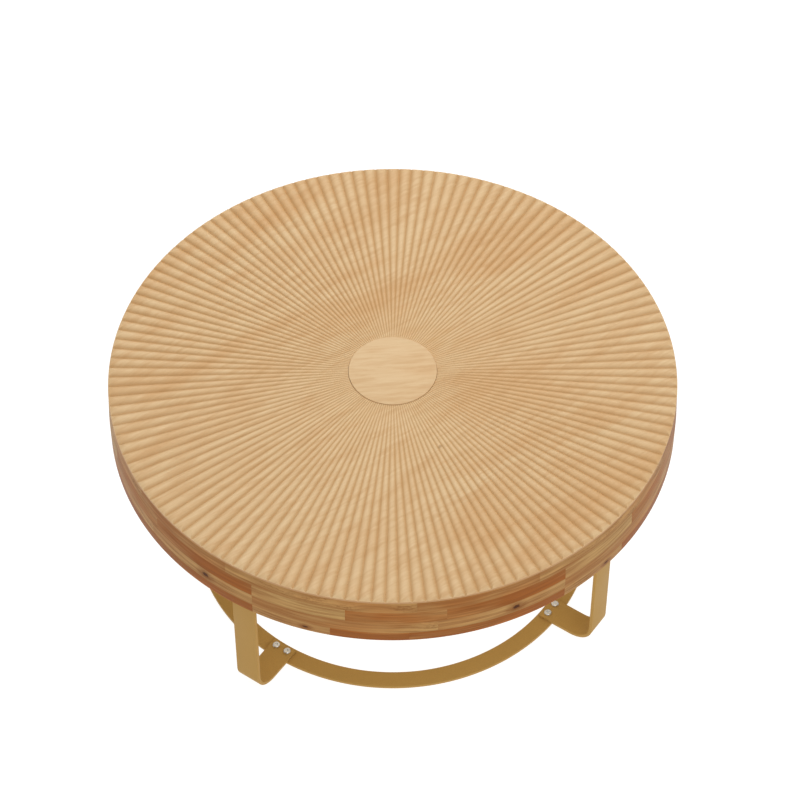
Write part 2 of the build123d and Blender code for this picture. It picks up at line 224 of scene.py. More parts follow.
class LOWTABLE_PG_stage(bpy.types.PropertyGroup):
    lens: FloatProperty(
        name="Lens", description="Focal length on a 36 mm wide frame", default=132.45, unit="CAMERA"
    )
    tilt: angle_of("Tilt", "How far the camera looks down", 50.0346)
    turn: angle_of("Turn", "Where the camera looks, from +Y", 34.7824)
    place: FloatVectorProperty(
        name="Camera",
        description="Where the camera stands",
        default=(1.5355, -2.1929, 3.4885),
        subtype="XYZ",
        unit="LENGTH",
    )
    key: FloatProperty(
        name="Key light", description="Watts of the light behind the table", default=64
    )
    fill: FloatProperty(
        name="Fill light", description="Watts of the light by the camera", default=46
    )
    sky: FloatProperty(name="Sky", description="Strength of the light all round", default=0.45)
    floor: colour("Floor", "The studio's floor", (0.3, 0.3, 0.3))
    glow: FloatProperty(
        name="Floor glow", description="Light that the floor gives off", default=0.88
    )


GROUPS = {
    "table_top": LOWTABLE_PG_top,
    "table_rim": LOWTABLE_PG_rim,
    "table_legs": LOWTABLE_PG_legs,
    "table_hardware": LOWTABLE_PG_hardware,
    "table_stage": LOWTABLE_PG_stage,
}


# ------------------------------ finishes
class Finish:
    """A material under construction: its node tree, its shader and the nodes it needs."""

    def __init__(self, name, roughness, metallic=0.0, gloss=0.5):
        self.material = bpy.data.materials.new(name)
        self.material.use_nodes = True
        self.tree = self.material.node_tree
        self.tree.nodes.clear()
        output = self.tree.nodes.new("ShaderNodeOutputMaterial")
        self.shader = self.tree.nodes.new("ShaderNodeBsdfPrincipled")
        self.tree.links.new(self.shader.outputs["BSDF"], output.inputs["Surface"])
        self.shader.inputs["Roughness"].default_value = roughness
        self.shader.inputs["Metallic"].default_value = metallic
        self.shader.inputs["Specular IOR Level"].default_value = gloss

    def node(self, kind, inputs=(), **settings):
        made = self.tree.nodes.new("ShaderNode" + kind)
        for name, value in settings.items():
            setattr(made, name, value)
        for name, value in dict(inputs).items():
            if isinstance(value, bpy.types.NodeSocket):
                self.tree.links.new(value, made.inputs[name])
            else:
                made.inputs[name].default_value = value
        return made

    def coordinates(self, uv=None):
        if uv:
            return self.node("UVMap", uv_map=uv).outputs["UV"]
        return self.node("TexCoord").outputs["Object"]

    def placed(self, vector, scale=(1, 1, 1), turn=0, move=(0, 0, 0)):
        """The coordinates turned about Z, moved and then stretched."""
        turned = self.node(
            "Mapping", {"Vector": vector, "Location": move, "Rotation": (0, 0, turn)}
        )
        stretched = self.node("Mapping", {"Vector": turned.outputs["Vector"], "Scale": scale})
        return stretched.outputs["Vector"]

    def noise(self, vector, scale, detail, roughness, distortion=0.0):
        inputs = {
            "Vector": vector,
            "Scale": scale,
            "Detail": detail,
            "Roughness": roughness,
            "Distortion": distortion,
        }
        return self.node("TexNoise", inputs).outputs["Fac"]

    def grain(self, vector, scale, turn=0, move=(0, 0, 0), detail=3.0, rough=0.6, distortion=0.0):
        """Noise over coordinates that are placed first, so that it can run along the wood."""
        return self.noise(self.placed(vector, scale, turn, move), 1.0, detail, rough, distortion)

    def math(self, operation, first, second=0.0, clamp=False):
        inputs = {0: first, 1: second}
        return self.node("Math", inputs, operation=operation, use_clamp=clamp).outputs[0]

    def most(self, values):
        """The greatest of several values."""
        found = values[0]
        for value in values[1:]:
            found = self.math("MAXIMUM", found, value)
        return found

    def distance(self, vector):
        """How far the coordinates lie from their origin."""
        return self.node("VectorMath", {0: vector}, operation="LENGTH").outputs["Value"]

    def spread(self, value, span, onto=(0.0, 1.0)):
        """The value stretched from one span onto another, and held inside it."""
        inputs = {
            "Value": value,
            "From Min": span[0],
            "From Max": span[1],
            "To Min": onto[0],
            "To Max": onto[1],
        }
        return self.node("MapRange", inputs, interpolation_type="SMOOTHSTEP").outputs["Result"]

    def mix(self, factor, first, second):
        """A blend of two colours, each of them a socket or three numbers."""
        made = self.node("Mix", data_type="RGBA")
        self.tree.links.new(factor, made.inputs[MIX_FACTOR])
        for number, value in ((MIX_FIRST, first), (MIX_SECOND, second)):
            if isinstance(value, bpy.types.NodeSocket):
                self.tree.links.new(value, made.inputs[number])
            else:
                made.inputs[number].default_value = (*value, 1)
        return made.outputs[MIX_RESULT]

    def paint(self, name, value):
        """Feeds a socket of the shader."""
        self.tree.links.new(value, self.shader.inputs[name])

    def bump(self, height, strength, distance):
        inputs = {"Height": height, "Strength": strength, "Distance": distance}
        self.paint("Normal", self.node("Bump", inputs).outputs["Normal"])


def finish_named(slot, make, **values):
    """The finish of that slot, made on first use."""
    name = f"{slot}_finish"
    found = bpy.data.materials.get(name)
    return found or make(name, **values).material


def tinted(base, factor):
    """A colour made darker or lighter by a factor."""
    return tuple(min(1, part * factor) for part in base)


def top_wood(name, pale, warm, turn, band, valley=None, side=None):
    """Satin pale wood with orange bands, blotches and fine fibres, and painted shade in the valleys
    and on the upright edge.
    """
    finish = Finish(name, roughness=0.5, gloss=0.25)
    place = finish.coordinates()
    bands = finish.grain(place, (2.6, 11, 3), turn, detail=4.0, rough=0.55, distortion=0.7)
    cloud = finish.grain(place, (7, 16, 7), turn, (0.4, 0.2, 0), distortion=0.4)
    mottle = finish.grain(place, (18, 110, 30), turn, (0.2, 0.6, 0), distortion=0.3)
    fibre = finish.grain(place, (28, 420, 60), turn, distortion=0.2)
    band_warmth = finish.spread(bands, (0.46, 0.70), (0.0, band))
    cloud_warmth = finish.spread(cloud, (0.4, 0.75), (0.0, 0.24))
    wood = finish.mix(finish.math("ADD", band_warmth, cloud_warmth), pale, warm)
    wood = finish.mix(finish.spread(mottle, (0.4, 0.72), (0.0, 0.42)), wood, tinted(warm, 0.92))
    wood = finish.mix(finish.spread(fibre, (0.35, 0.75), (0.0, 0.2)), wood, tinted(warm, 0.84))
    if valley is not None:
        # Painted shade: the deeper a point lies under its reed's crest, the more the wood turns to
        # the darker valley colour.
        depth = finish.node("Attribute", attribute_name="hollow").outputs["Fac"]
        wood = finish.mix(finish.spread(depth, (0.0, 0.8), (0.0, 0.5)), wood, valley)
        mark_x, mark_y, half = TOP_MARK
        scale = (1 / half, MARK_ASPECT / half, 0)
        reach = finish.distance(finish.placed(place, scale, move=(-mark_x, -mark_y, 0)))
        wood = finish.mix(finish.spread(reach, (0.4, 1.3), (0.55, 0.0)), wood, tinted(warm, 0.55))
        # Painted shade on the panel's upright edge, which turns to the darker side colour.
        upright = finish.node("Attribute", attribute_name="side").outputs["Fac"]
        wood = finish.mix(finish.spread(upright, (0.2, 1.0)), wood, side)
    finish.paint("Base Color", wood)
    finish.paint("Roughness", finish.spread(fibre, (0.3, 0.75), (0.44, 0.56)))
    finish.bump(fibre, strength=0.12, distance=0.0002)
    return finish


def reach_from(finish, uv, waver, mark):
    """How far a point of the grain map lies from a knot or figure, in that mark's half sizes."""
    course, stave, angle, height, half_length, half_height = mark
    along = radians(angle) * TABLE_RADIUS
    up = height + COURSE_STEP * course + STAVE_STEP * stave
    scale = (1 / half_length, 1 / half_height, 1)
    reach = finish.distance(finish.placed(uv, scale, move=(-along, -up, 0)))
    return finish.math("ADD", reach, waver)


def ring_figure(finish, reach):
    """Rings round a spot, strong in its middle and gone a little past its edge."""
    wave = finish.math("SINE", finish.math("MULTIPLY", reach, RING_WAVES))
    inside = finish.spread(reach, (0.4, 1.3), (1.0, 0.0))
    return finish.math("MULTIPLY", finish.spread(wave, (-0.4, 1.0)), inside)


def stave_wood(name, tan_wood, red_wood, knot):
    """Staves cut from mixed boards: grain along the stave, a tone for each, knots and rings."""
    finish = Finish(name, roughness=0.5, gloss=0.06)
    uv = finish.coordinates("grain")
    tone = finish.node("Attribute", attribute_name="tone").outputs["Fac"]

    # Knots and ring figures, and the grain that runs round them.
    waver = finish.spread(finish.grain(uv, (160, 420, 1)), (0.2, 0.8), (-0.35, 0.35))
    knots = [reach_from(finish, uv, waver, mark) for mark in KNOTS]
    swirls = [reach_from(finish, uv, waver, mark) for mark in SWIRLS]
    pull = finish.most([finish.spread(reach, (0.0, 3.0), (1.0, 0.0)) for reach in knots + swirls])
    core = finish.most([finish.spread(reach, (0.55, 1.1), (1.0, 0.0)) for reach in knots])
    halo = finish.most([finish.spread(reach, (0.9, 3.6), (1.0, 0.0)) for reach in knots])
    rings = finish.most([ring_figure(finish, reach) for reach in swirls])
    lift = finish.node("CombineXYZ", {"Y": finish.math("MULTIPLY", pull, GRAIN_LIFT)})
    moved = finish.node("VectorMath", {0: uv, 1: lift.outputs["Vector"]}, operation="ADD")
    bent = moved.outputs["Vector"]

    broad = finish.grain(bent, (7, 150, 1), rough=0.55, distortion=0.6)
    streak = finish.grain(bent, (14, 620, 1), move=(0.3, 0.1, 0), detail=4.0, distortion=0.4)
    fine = finish.grain(bent, (60, 2200, 1), detail=2.0)
    drift = finish.grain(uv, (9, 30, 1), move=(0.7, 0.4, 0), detail=2.0, rough=0.5)
    shift = finish.spread(drift, (0.3, 0.7), (-0.22, 0.22))
    shade = finish.math("ADD", tone, shift, clamp=True)
    light = finish.mix(shade, tinted(tan_wood, 1.22), tinted(red_wood, 1.27))

    # Each layer lies over the ones before it: how strongly, and its colour.
    wood = finish.mix(shade, tan_wood, red_wood)
    for strength, over in (
        (finish.spread(broad, (0.45, 0.7), (0.0, 0.4)), tinted(red_wood, 0.9)),
        (finish.spread(streak, (0.5, 0.7), (0.0, 0.72)), tinted(red_wood, 0.62)),
        (finish.spread(broad, (0.34, 0.52), (0.9, 0.0)), light),
        (finish.spread(fine, (0.5, 0.8), (0.0, 0.35)), tinted(red_wood, 0.7)),
        (finish.math("MULTIPLY", rings, 0.5), tinted(red_wood, 0.55)),
        (finish.math("MULTIPLY", halo, 0.7), tinted(red_wood, 0.7)),
        (core, knot),
    ):
        wood = finish.mix(strength, wood, over)
    finish.paint("Base Color", wood)
    finish.paint("Roughness", finish.spread(streak, (0.3, 0.75), (0.4, 0.55)))
    finish.bump(streak, strength=0.3, distance=0.0002)
    return finish


def plain_wood(name, pale, warm, turn):
    """The boards inside the drum: straight grain one way, with a few broad growth rings."""
    finish = Finish(name, roughness=0.62, gloss=0.3)
    place = finish.coordinates()
    rings = finish.grain(place, (2, 22, 22), turn, distortion=0.9)
    fibre = finish.grain(place, (20, 380, 380), turn)
    wood = finish.mix(finish.spread(rings, (0.4, 0.68)), pale, warm)
    wood = finish.mix(finish.spread(fibre, (0.45, 0.75), (0.0, 0.35)), wood, tinted(warm, 0.7))
    finish.paint("Base Color", wood)
    finish.bump(fibre, strength=0.35, distance=0.0004)
    return finish


def gold_paint(name, paint):
    """Satin gold paint with fine flake, a faint orange peel and slightly uneven gloss."""
    finish = Finish(name, roughness=0.45, gloss=0.05)
    place = finish.coordinates()
    flake = finish.noise(place, scale=1800.0, detail=2.0, roughness=0.6)
    cloud = finish.noise(place, scale=9.0, detail=2.0, roughness=0.5)
    peel = finish.noise(place, scale=420.0, detail=2.0, roughness=0.5)
    tone = finish.mix(finish.spread(flake, (0.35, 0.75)), tinted(paint, 0.9), tinted(paint, 1.08))
    tone = finish.mix(finish.spread(cloud, (0.3, 0.75), (0.0, 0.4)), tone, tinted(paint, 0.93))
    finish.paint("Base Color", tone)
    finish.paint("Roughness", finish.spread(cloud, (0.3, 0.7), (0.38, 0.48)))
    finish.bump(peel, strength=0.12, distance=0.0002)
    return finish


def plated_metal(name, tone, roughness):
    """Plated or turned metal: bright, with fine marks and a little dulling."""
    finish = Finish(name, roughness, metallic=1.0)
    place = finish.coordinates()
    marks = finish.grain(place, (700, 700, 2600))
    dull = finish.noise(place, scale=160.0, detail=3.0, roughness=0.55)
    finish.paint(
        "Base Color", finish.mix(finish.spread(dull, (0.4, 0.75)), tone, tinted(tone, 0.8))
    )
    finish.paint(
        "Roughness", finish.spread(marks, (0.3, 0.7), (roughness * 0.8, roughness * 1.3))
    )
    finish.bump(marks, strength=0.15, distance=0.00005)
    return finish


def soft_rubber(name, tone):
    """Moulded rubber with a fine stipple and dust in it."""
    finish = Finish(name, roughness=0.8)
    place = finish.coordinates()
    stipple = finish.noise(place, scale=1500.0, detail=2.0, roughness=0.6)
    dust = finish.noise(place, scale=90.0, detail=4.0, roughness=0.6)
    dusted = finish.mix(finish.spread(dust, (0.45, 0.8), (0.0, 0.5)), tone, tinted(tone, 2.2))
    finish.paint("Base Color", dusted)
    finish.bump(stipple, strength=0.4, distance=0.0003)
    return finish


# ------------------------------ mesh tools
def add_piece(name, bm, material, nodes, sharp=PLAIN_SHARP):
    """Makes a closed piece of the table from a bmesh, shades it and puts it in its nodes' place."""
    bmesh.ops.remove_doubles(bm, verts=bm.verts, dist=MERGE)
    bmesh.ops.recalc_face_normals(bm, faces=bm.faces)
    open_edges = [edge for edge in bm.edges if len(edge.link_faces) != 2]
    if open_edges:
        raise RuntimeError(f"{name} has {len(open_edges)} edges without two faces")
    for face in bm.faces:
        face.smooth = True
    for edge in bm.edges:
        edge.smooth = edge.calc_face_angle() < radians(sharp)
    mesh = bpy.data.meshes.new(name)
    bm.to_mesh(mesh)
    bm.free()
    mesh.materials.append(material)
    piece = bpy.data.objects.new(name, mesh)
    bpy.context.scene.collection.objects.link(piece)
    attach(piece, "root")
    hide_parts(*nodes)


def dress_node(name, material):
    """Gives a node of the frame its finish."""
    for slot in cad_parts[name].material_slots:
        slot.material = material


def wire(bm, points, closed=True):
    """Draws an outline in the plane Y = 0 from its (radius, height) points."""
    corners = [bm.verts.new((radius, 0, height)) for radius, height in points]
    for pair in zip(corners, corners[1:] + (corners[:1] if closed else [])):
        bm.edges.new(pair)


def box_section(inner, outer, low, high):
    """The corners of a rectangular section, as (radius, height) points."""
    return [(inner, low), (outer, low), (outer, high), (inner, high)]


def round_corners(bm, corners, radius, segments):
    """Rounds corners of a flat outline or face."""
    bmesh.ops.bevel(
        bm,
        geom=corners,
        offset=radius,
        segments=segments,
        profile=0.5,
        affect="VERTICES",
        material=-1,
    )


def rounded(points, radius, chosen, segments=PLAIN_CORNER):
    """An outline whose chosen corners are rounded, as a bmesh with only its wire."""
    bm = bmesh.new()
    wire(bm, points)
    bm.verts.ensure_lookup_table()
    round_corners(bm, [bm.verts[index] for index in chosen], radius, segments)
    return bm


def turned(bm, steps):
    """Spins an outline once round the Z axis, without the edges that lie on the axis."""
    axis_edges = [
        edge for edge in bm.edges if all(abs(vert.co.x) < ON_AXIS for vert in edge.verts)
    ]
    bmesh.ops.delete(bm, geom=axis_edges, context="EDGES")
    bmesh.ops.spin(
        bm,
        geom=bm.verts[:] + bm.edges[:],
        cent=(0, 0, 0),
        axis=(0, 0, 1),
        angle=2 * pi,
        steps=steps,
        use_merge=True,
        use_duplicate=False,
    )
    bmesh.ops.remove_doubles(bm, verts=bm.verts, dist=MERGE)
    return bm


def turn_about_z(bm, verts, degrees_round):
    """Turns points about the Z axis."""
    matrix = Matrix.Rotation(radians(degrees_round), 3, "Z")
    bmesh.ops.rotate(bm, verts=verts, cent=(0, 0, 0), matrix=matrix)


def edge_loop(bm, low, high):
    """The open edges whose two ends lie at a radius from low to high."""
    return [
        edge
        for edge in bm.edges
        if len(edge.link_faces) == 1
        and all(low <= hypot(vert.co.x, vert.co.y) <= high for vert in edge.verts)
    ]


def pull_loop(bm, edges, radius=None, height=None):
    """Extrudes a loop round the axis to another radius or height, and returns its new edges."""
    made = bmesh.ops.extrude_edge_only(bm, edges=edges)["geom"]
    for vert in [item for item in made if isinstance(item, bmesh.types.BMVert)]:
        if radius is not None:
            reach = hypot(vert.co.x, vert.co.y)
            vert.co.x *= radius / reach
            vert.co.y *= radius / reach
        if height is not None:
            vert.co.z = height
    edges = [item for item in made if isinstance(item, bmesh.types.BMEdge)]
    return [edge for edge in edges if len(edge.link_faces) == 1]


# ------------------------------ the top
class ReedShape:
    """One reed's surface: a round back that runs in to the disc, and a rounded nose at the edge."""

    across = 8  # faces from one valley to the next
    round_steps = 2  # rows of faces on the small round over the upright edge
    nose_steps = 3  # rows of faces on the nose

    def __init__(self, top):
        self.top = top
        self.pitch = 2 * pi / top.reeds
        self.half = PANEL_RADIUS * tan(self.pitch / 2)
        self.back = (self.half**2 + top.depth**2) / (2 * top.depth)
        self.nose_radius = (top.nose**2 + top.drop**2) / (2 * top.drop)
        self.nose_start = PANEL_RADIUS - top.nose
        self.nose_centre = TOP_HIGH.z - self.nose_radius
        lean = (top.nose - top.edge_round) / (self.nose_radius - top.edge_round)
        self.sweep = pi / 2 - asin(lean)

    @property
    def rows(self):
        """Rows of faces from the edge to the disc, with the support row and the back."""
        return self.round_steps + self.nose_steps + 2

    def hollow(self, share):
        """How far the back lies under its crest at that share of the half width, from 0 to 1."""
        return (self.back - sqrt(self.back**2 - (share * self.half) ** 2)) / self.top.depth

    def back_height(self, radius, share):
        return TOP_HIGH.z - self.top.depth * self.hollow(share) * radius / PANEL_RADIUS

    def nose_height(self, radius):
        return self.nose_centre + sqrt(self.nose_radius**2 - (radius - self.nose_start) ** 2)

    def crease(self, share):
        """The radius where the back runs into the nose. A valley's may lie past the edge."""
        fall = self.top.depth * self.hollow(share) / PANEL_RADIUS
        middle = self.nose_radius * fall + self.nose_start
        root = sqrt(max(0, middle**2 - (1 + fall**2) * self.nose_start**2))
        return (middle + root) / (1 + fall**2)

    def edge_arc(self, angle):
        """A point of the small round between the nose and the upright edge."""
        radius = PANEL_RADIUS - self.top.edge_round * (1 - cos(angle))
        reach = self.nose_radius - self.top.edge_round
        centre = self.nose_centre + sqrt(reach**2 - (self.top.nose - self.top.edge_round) ** 2)
        return radius, centre + self.top.edge_round * sin(angle)

    def station(self, row, share):
        """The radius and height of one point of the reed. Rows are counted from the edge in."""
        if row <= self.round_steps:
            radius, height = self.edge_arc(self.sweep * row / self.round_steps)
            return radius, min(height, self.back_height(radius, share))
        outer = self.edge_arc(self.sweep)[0]
        crease = min(self.crease(share), outer)
        step = row - self.round_steps
        if step <= self.nose_steps:
            radius = outer + (crease - outer) * step / self.nose_steps
            return radius, min(self.nose_height(radius), self.back_height(radius, share))
        radius = self.top.pocket if row == self.rows else crease - self.top.support
        return radius, self.back_height(radius, share)


class LOWTABLE_OT_fluted_top(bpy.types.Operator):
    """Builds the reeded top panel"""

    bl_idname = "lowtable.fluted_top"
    bl_label = "Reeded Top"

    def execute(self, context):
        top = context.scene.table_top
        reed = ReedShape(top)
        bm = bmesh.new()
        hollow = bm.verts.layers.float.new("hollow")
        side = bm.verts.layers.float.new("side")
        bmesh.ops.create_grid(bm, x_segments=reed.rows, y_segments=reed.across, size=0.5)
        for vert in bm.verts:
            share = 2 * vert.co.y
            row = round((vert.co.x + 0.5) * reed.rows)
            radius, height = reed.station(row, share)
            angle = (1 + share) * reed.pitch / 2
            vert.co = (radius * cos(angle), radius * sin(angle), height)
            on_back = row >= reed.round_steps + reed.nose_steps
            # The hollow attribute carries the depth that the finish turns into painted shade in the
            # valleys.
            vert[hollow] = reed.hollow(share) if on_back else 0
            # The side attribute marks the upright edge for its painted shade.
            vert[side] = 1 if row == 0 else 0
        bmesh.ops.spin(
            bm,
            geom=bm.verts[:] + bm.edges[:] + bm.faces[:],
            cent=(0, 0, 0),
            axis=(0, 0, 1),
            angle=reed.pitch * (top.reeds - 1),
            steps=top.reeds - 1,
            use_duplicate=True,
        )
        bmesh.ops.remove_doubles(bm, verts=bm.verts, dist=REED_MERGE)
        outer = edge_loop(bm, PANEL_RADIUS - SAME, PANEL_RADIUS + SAME)
        outer = pull_loop(bm, outer, height=RIM_TOP)
        outer = pull_loop(bm, outer, radius=top.rebate)
        outer = pull_loop(bm, outer, height=TOP_LOW.z)
        bmesh.ops.edgeloop_fill(bm, edges=outer)
        inner = edge_loop(bm, top.pocket - SAME, top.pocket + SAME)
        inner = pull_loop(bm, inner, height=DISC_LOW.z)
        bmesh.ops.edgeloop_fill(bm, edges=inner)
        wood = finish_named(
            "reeded_wood",
            top_wood,
            pale=top.pale,
            warm=top.warm,
            turn=radians(-70),
            band=0.5,
            # the colour of the painted shade in the valleys
            valley=top.valley,
            side=top.side,
        )
        add_piece("reeded_top", bm, wood, ["fluted_top"], TOP_SHARP)
        return {"FINISHED"}


class LOWTABLE_OT_centre_disc(bpy.types.Operator):
    """Builds the smooth disc in the middle of the top"""

    bl_idname = "lowtable.centre_disc"
    bl_label = "Centre Disc"

    def execute(self, context):
        top = context.scene.table_top
        corners = box_section(0, DISC_HIGH.x, DISC_LOW.z, DISC_HIGH.z)
        disc = turned(rounded(corners, top.disc_round, [UPPER_OUTER], FINE_CORNER), DISC_STEPS)
        wood = finish_named(
            "disc_wood", top_wood, pale=top.pale, warm=top.warm, turn=radians(-40), band=0.3
        )
        add_piece("centre_disc_wood", disc, wood, ["centre_disc"])
        return {"FINISHED"}


# ------------------------------ the rim
def stave_layout(first, staves):
    """Each stave of a course: where its group begins, the group's share of a whole one, the stave's
    place in the group, its start, its arc and its tones at both ends. Angles are in degrees."""
    group = sum(arc for arc, tone_start, tone_end in staves)
    whole = int(360 / group - CLOSING_SHARE)
    begin = first
    for share in [1] * whole + [360 / group - whole]:
        azimuth = begin
        for place, (arc, tone_start, tone_end) in enumerate(staves):
            yield begin, share, place, azimuth, arc * share, (tone_start, tone_end)
            azimuth += arc * share
        begin += group * share


class LOWTABLE_OT_rim(bpy.types.Operator):
    """Builds the four courses of glued staves round the drum"""

    bl_idname = "lowtable.rim"
    bl_label = "Rim Staves"

    def execute(self, context):
        rim = context.scene.table_rim
        wood = finish_named(
            "stave_wood", stave_wood, tan_wood=rim.tan_wood, red_wood=rim.red_wood, knot=rim.knot
        )
        for number in range(1, len(COURSES) + 1):
            bm = self.course(rim, number)
            add_piece(f"rim_staves_{number}", bm, wood, [f"rim_course_{number}"])
        return {"FINISHED"}

    def course(self, rim, number):
        """All staves of a course, with their place on the grain map and their tones."""
        low, high = (corner.z for corner in RIM_BOXES[number - 1])
        lowest = number == len(COURSES)
        bm = bmesh.new()
        grain = bm.loops.layers.uv.new("grain")
        tone = bm.verts.layers.float.new("tone")
        for begin, share, place, azimuth, arc, tones in stave_layout(*COURSES[number - 1]):
            old = set(bm.faces)
            self.stave(bm, rim, low, high, azimuth, azimuth + arc, lowest)
            new = [face for face in bm.faces if face not in old]
            for loop in [loop for face in new for loop in face.loops]:
                at = loop.vert.co
                angle = self.azimuth_near(at, azimuth)
                up = at.z - low + COURSE_STEP * number + STAVE_STEP * place + self.depth_in(at)
                loop[grain].uv = (radians(angle - begin) / share * TABLE_RADIUS, up)
                along = (angle - azimuth) / arc
                loop.vert[tone] = tones[0] + (tones[1] - tones[0]) * along
        return bm

    def depth_in(self, point):
        """How far inside the rim's face a point lies, so that the end grain isn't smeared."""
        return self.face_radius(point.z) - hypot(point.x, point.y)

    def azimuth_near(self, point, azimuth):
        """A point's azimuth in degrees, within half a turn of the given one."""
        angle = degrees(Vector((1, 0)).angle_signed(Vector((point.x, -point.y))))
        return angle + 360 * round((azimuth - angle) / 360)

    def face_radius(self, height):
        """The radius of the drum's face at this height."""
        lean = max(0, (height - TAPER_BOTTOM) / (RIM_TOP - TAPER_BOTTOM))
        return TABLE_RADIUS + (PANEL_RADIUS - TABLE_RADIUS) * lean

    def stave(self, bm, rim, low, high, start, end, lowest):
        """One stave: its section is spun from one glue line to the next."""
        margin = degrees(GLUE_LINE / 2 / TABLE_RADIUS)
        start, end = start + margin, end - margin
        inner = TABLE_RADIUS - rim.thickness
        lower, upper = (self.face_radius(low), low), (self.face_radius(high), high)
        eased = [LOWER_OUTER] if lowest else []
        section = rounded([(inner, low), lower, upper, (inner, high)], rim.ease, eased, FINE_CORNER)
        corners = [bm.verts.new(vert.co) for vert in section.verts]
        section.verts.index_update()
        edges = [
            bm.edges.new([corners[vert.index] for vert in edge.verts]) for edge in section.edges
        ]
        section.free()
        turn_about_z(bm, corners, start)
        face = bmesh.ops.edgeloop_fill(bm, edges=edges)["faces"]
        steps = max(2, round((end - start) / STAVE_FACE))
        bmesh.ops.spin(
            bm,
            geom=corners + edges + face,
            cent=(0, 0, 0),
            axis=(0, 0, 1),
            angle=radians(end - start),
            steps=steps,
            use_merge=False,
            use_duplicate=False,
        )


class LOWTABLE_OT_inside(bpy.types.Operator):
    """Finishes the boards, rails, inserts and screws that hold the drum together"""

    bl_idname = "lowtable.inside"
    bl_label = "Drum Inside"

    def execute(self, context):
        top = context.scene.table_top
        board = finish_named(
            "board_wood", plain_wood, pale=BOARD_PALE, warm=BOARD_WARM, turn=radians(35)
        )
        dress_node("base_board", board)
        for node, slot, turn in (
            ("cross_rail_x", "rail_wood", 0),
            ("cross_rail_y", "rail_wood_turned", radians(90)),
        ):
            rail = finish_named(slot, plain_wood, pale=top.pale, warm=top.warm, turn=turn)
            dress_node(node, rail)
        brass = finish_named("insert_brass", plated_metal, tone=BRASS, roughness=0.35)
        dress_node("threaded_inserts", brass)
        zinc = finish_named("screw_steel", plated_metal, tone=YELLOW_ZINC, roughness=0.3)
        dress_node("board_screws", zinc)
        dress_node("rail_screws", zinc)
        return {"FINISHED"}


# ------------------------------ the stand
class LOWTABLE_OT_legs(bpy.types.Operator):
    """Builds the four bent legs"""

    bl_idname = "lowtable.legs"
    bl_label = "Bent Legs"

    def execute(self, context):
        legs = context.scene.table_legs
        paint = finish_named("gold_paint", gold_paint, paint=legs.paint)
        for name, azimuth in LEG_ANGLES.items():
            bm = self.bent_bar(legs)
            turn_about_z(bm, bm.verts, azimuth)
            add_piece(f"{name}_bar", bm, paint, [name])
        return {"FINISHED"}

    def bent_bar(self, legs):
        """The bar's section drawn out along the foot, round a bend, up, round a bend and back."""
        bm = bmesh.new()
        bmesh.ops.create_grid(bm, x_segments=1, y_segments=1, size=0.5)
        width = LEG_HIGH.y - LEG_LOW.y
        bmesh.ops.scale(bm, vec=(legs.bar, width, 1), verts=bm.verts)
        round_corners(bm, bm.verts[:], legs.corner, PLAIN_CORNER)
        upright = Matrix.Rotation(pi / 2, 3, "Y")
        bmesh.ops.rotate(bm, verts=bm.verts, cent=(0, 0, 0), matrix=upright)
        bmesh.ops.translate(bm, verts=bm.verts, vec=(LEG_LOW.x, 0, LEG_LOW.z + legs.bar / 2))
        outside = legs.bend + legs.bar
        straight = LEG_HIGH.x - outside - LEG_LOW.x
        lower = Vector((LEG_HIGH.x - outside, 0, LEG_LOW.z + outside))
        upper = Vector((LEG_HIGH.x - outside, 0, LEG_HIGH.z - outside))
        cap = self.stretch(bm, bm.faces[:], (straight, 0, 0))
        cap = self.curve(bm, cap, lower)
        cap = self.stretch(bm, cap, (0, 0, upper.z - lower.z))
        cap = self.curve(bm, cap, upper)
        self.stretch(bm, cap, (-straight, 0, 0))
        return bm

    def stretch(self, bm, cap, way):
        """Draws the bar's end out in a straight line, and returns the new end."""
        inside = [face for face in cap if any(len(edge.link_faces) > 1 for edge in face.edges)]
        made = bmesh.ops.extrude_face_region(bm, geom=cap)["geom"]
        verts = [item for item in made if isinstance(item, bmesh.types.BMVert)]
        bmesh.ops.translate(bm, verts=verts, vec=way)
        bmesh.ops.delete(bm, geom=inside, context="FACES_ONLY")
        return [item for item in made if isinstance(item, bmesh.types.BMFace)]

    def curve(self, bm, cap, centre):
        """Draws the bar's end round a quarter bend, and returns the new end."""
        edges = {edge for face in cap for edge in face.edges}
        verts = {vert for face in cap for vert in face.verts}
        made = bmesh.ops.spin(
            bm,
            geom=[*verts, *edges, *cap],
            cent=centre,
            axis=(0, -1, 0),
            angle=pi / 2,
            steps=BEND_STEPS,
            use_merge=False,
            use_duplicate=False,
        )["geom_last"]
        return [item for item in made if isinstance(item, bmesh.types.BMFace)]


